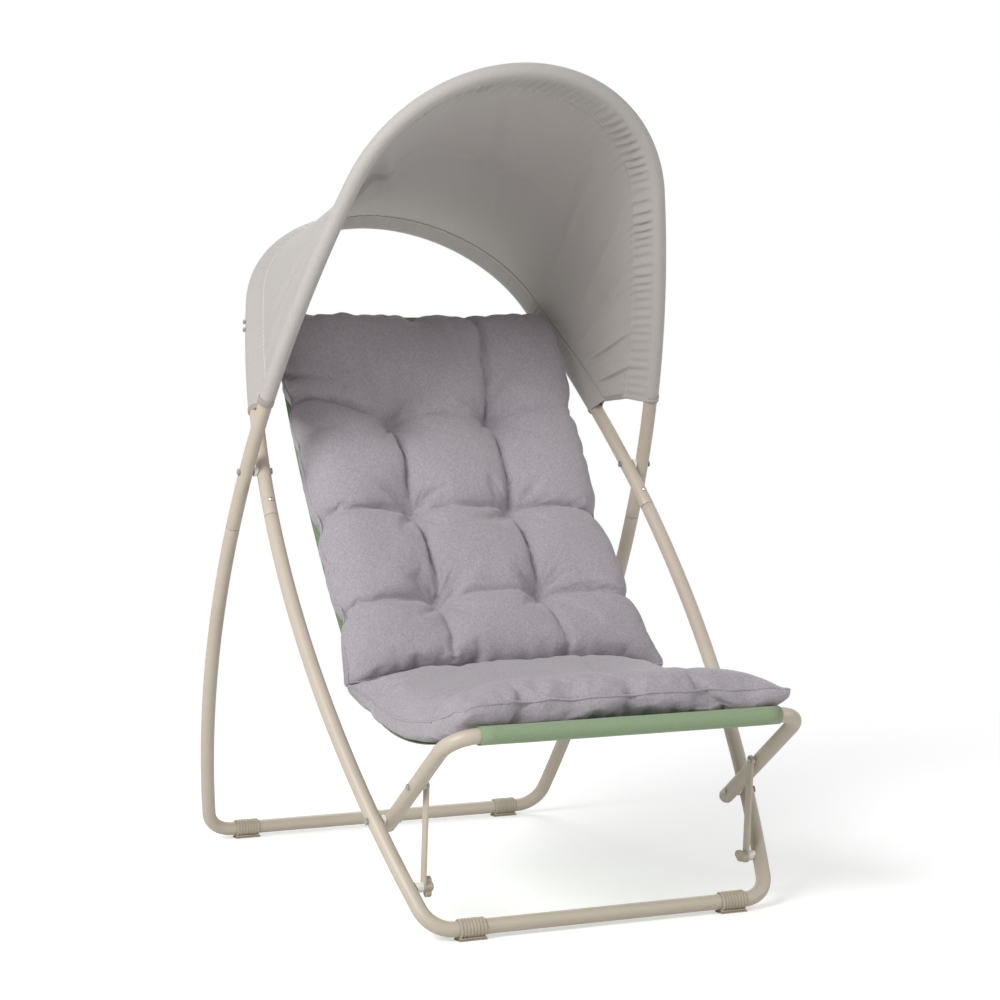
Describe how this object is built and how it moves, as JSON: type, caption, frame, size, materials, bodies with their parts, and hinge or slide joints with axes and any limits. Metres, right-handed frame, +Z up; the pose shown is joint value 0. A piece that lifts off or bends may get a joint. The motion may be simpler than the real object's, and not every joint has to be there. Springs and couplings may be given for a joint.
{
  "type": "sun lounger with canopy",
  "caption": "Folding garden lounger: two crossed tube loops, a fabric sling with tufted back and seat cushions, and a fabric canopy over both hoops.",
  "frame": {"origin": "centre of the box round the lounger, on the floor", "axes": "+Z up, -Y towards the foot end, -X the left side as the picture shows it"},
  "size_m": [0.7254, 1.0094, 1.235],
  "materials": {
    "frame_paint": "powder coat, satin",
    "steel": "bright zinc",
    "nylon_white": "semi-gloss",
    "taupe_plastic": "matt, ribbed",
    "pad_rubber": "matt",
    "sling_fabric": "woven, matt",
    "cushion_fabric": "woven melange, matt",
    "canopy_fabric": "woven, matt"
  },
  "bodies": {
    "inner_frame": {"front_leg_frame": "frame_paint", "rear_hoop": "frame_paint", "sling_crossbar": "frame_paint", "canopy_rear_sleeve": "canopy_fabric", "canopy_panel": "canopy_fabric", "sling": "sling_fabric", "back_cushion": "cushion_fabric", "seat_cushion": "cushion_fabric", "pivot_rivet_left": "steel", "pivot_rivet_right": "steel", "pivot_spacer_left": "nylon_white", "pivot_spacer_right": "nylon_white", "seat_rivet_left": "steel", "seat_rivet_right": "steel", "seat_spacer_left": "nylon_white", "seat_spacer_right": "nylon_white", "knob_spacer_left": "nylon_white", "knob_spacer_right": "nylon_white", "button_spring_rear_hoop_left": "steel", "button_spring_rear_hoop_right": "steel", "crossbar_plug_left": "taupe_plastic", "crossbar_plug_right": "taupe_plastic", "front_foot_left": "taupe_plastic", "front_foot_right": "taupe_plastic", "crossbar_screw_left_lower": "steel", "crossbar_screw_left_upper": "steel", "crossbar_screw_right_lower": "steel", "crossbar_screw_right_upper": "steel", "front_foot_left_pad": "pad_rubber", "front_foot_right_pad": "pad_rubber"},
    "outer_frame": {"rear_leg_frame": "frame_paint", "front_hoop": "frame_paint", "canopy_front_sleeve": "canopy_fabric", "button_spring_front_hoop_left": "steel", "button_spring_front_hoop_right": "steel", "rear_foot_left": "taupe_plastic", "rear_foot_right": "taupe_plastic", "rear_foot_left_pad": "pad_rubber", "rear_foot_right_pad": "pad_rubber"},
    "seat_frame": {"seat_frame": "frame_paint", "arm_cap_left": "taupe_plastic", "arm_cap_right": "taupe_plastic", "link_washer_left": "nylon_white", "link_washer_right": "nylon_white", "link_rivet_left": "steel", "link_rivet_right": "steel"},
    "link_left": {"support_link_left": "frame_paint"},
    "knob_left": {"knob_left": "taupe_plastic", "knob_stud_left": "steel"},
    "rear_hoop_button_left": {"button_rear_hoop_left": "steel"},
    "front_hoop_button_left": {"button_front_hoop_left": "steel"},
    "link_right": {"support_link_right": "frame_paint"},
    "knob_right": {"knob_right": "taupe_plastic", "knob_stud_right": "steel"},
    "rear_hoop_button_right": {"button_rear_hoop_right": "steel"},
    "front_hoop_button_right": {"button_front_hoop_right": "steel"}
  },
  "joints": [
    {"name": "frame_fold", "type": "hinge", "parent": "inner_frame", "child": "outer_frame", "pos_m": [0, 0.13214, 0.62887], "axis": [-1, 0, 0], "range_deg": [0, 66], "deforming": ["canopy_panel"]},
    {"name": "seat_fold", "type": "hinge", "parent": "inner_frame", "child": "seat_frame", "pos_m": [0, -0.28481, 0.15259], "axis": [-1, 0, 0], "range_deg": [0, 95], "deforming": ["sling", "seat_cushion"]},
    {"name": "link_swing_left", "type": "hinge", "parent": "seat_frame", "child": "link_left", "pos_m": [-0.257, -0.37124, 0.21221], "axis": [1, 0, 0], "range_deg": [0, 52]},
    {"name": "knob_turn_left", "type": "hinge", "parent": "link_left", "child": "knob_left", "pos_m": [-0.25, -0.35792, 0.06907], "axis": [1, 0, 0], "continuous": true},
    {"name": "link_swing_right", "type": "hinge", "parent": "seat_frame", "child": "link_right", "pos_m": [0.257, -0.37124, 0.21221], "axis": [1, 0, 0], "range_deg": [0, 52]},
    {"name": "knob_turn_right", "type": "hinge", "parent": "link_right", "child": "knob_right", "pos_m": [0.25, -0.35792, 0.06907], "axis": [1, 0, 0], "continuous": true},
    {"name": "press_rear_hoop_button_left", "type": "slide", "parent": "inner_frame", "child": "rear_hoop_button_left", "axis": [0, 0.7524, -0.6587], "range_m": [0, 0.0035], "stiffness_N_per_m": 300, "springref_m": -0.005, "deforming": ["button_spring_rear_hoop_left"]},
    {"name": "press_front_hoop_button_left", "type": "slide", "parent": "outer_frame", "child": "front_hoop_button_left", "axis": [0, -0.8838, -0.4679], "range_m": [0, 0.0035], "stiffness_N_per_m": 300, "springref_m": -0.005, "deforming": ["button_spring_front_hoop_left"]},
    {"name": "press_rear_hoop_button_right", "type": "slide", "parent": "inner_frame", "child": "rear_hoop_button_right", "axis": [0, 0.7524, -0.6587], "range_m": [0, 0.0035], "stiffness_N_per_m": 300, "springref_m": -0.005, "deforming": ["button_spring_rear_hoop_right"]},
    {"name": "press_front_hoop_button_right", "type": "slide", "parent": "outer_frame", "child": "front_hoop_button_right", "axis": [0, -0.8838, -0.4679], "range_m": [0, 0.0035], "stiffness_N_per_m": 300, "springref_m": -0.005, "deforming": ["button_spring_front_hoop_right"]}
  ],
  "couplings": [
    {"joint": "link_swing_left", "follows": "seat_fold", "ratio": 0.51},
    {"joint": "link_swing_right", "follows": "seat_fold", "ratio": 0.51}
  ]
}
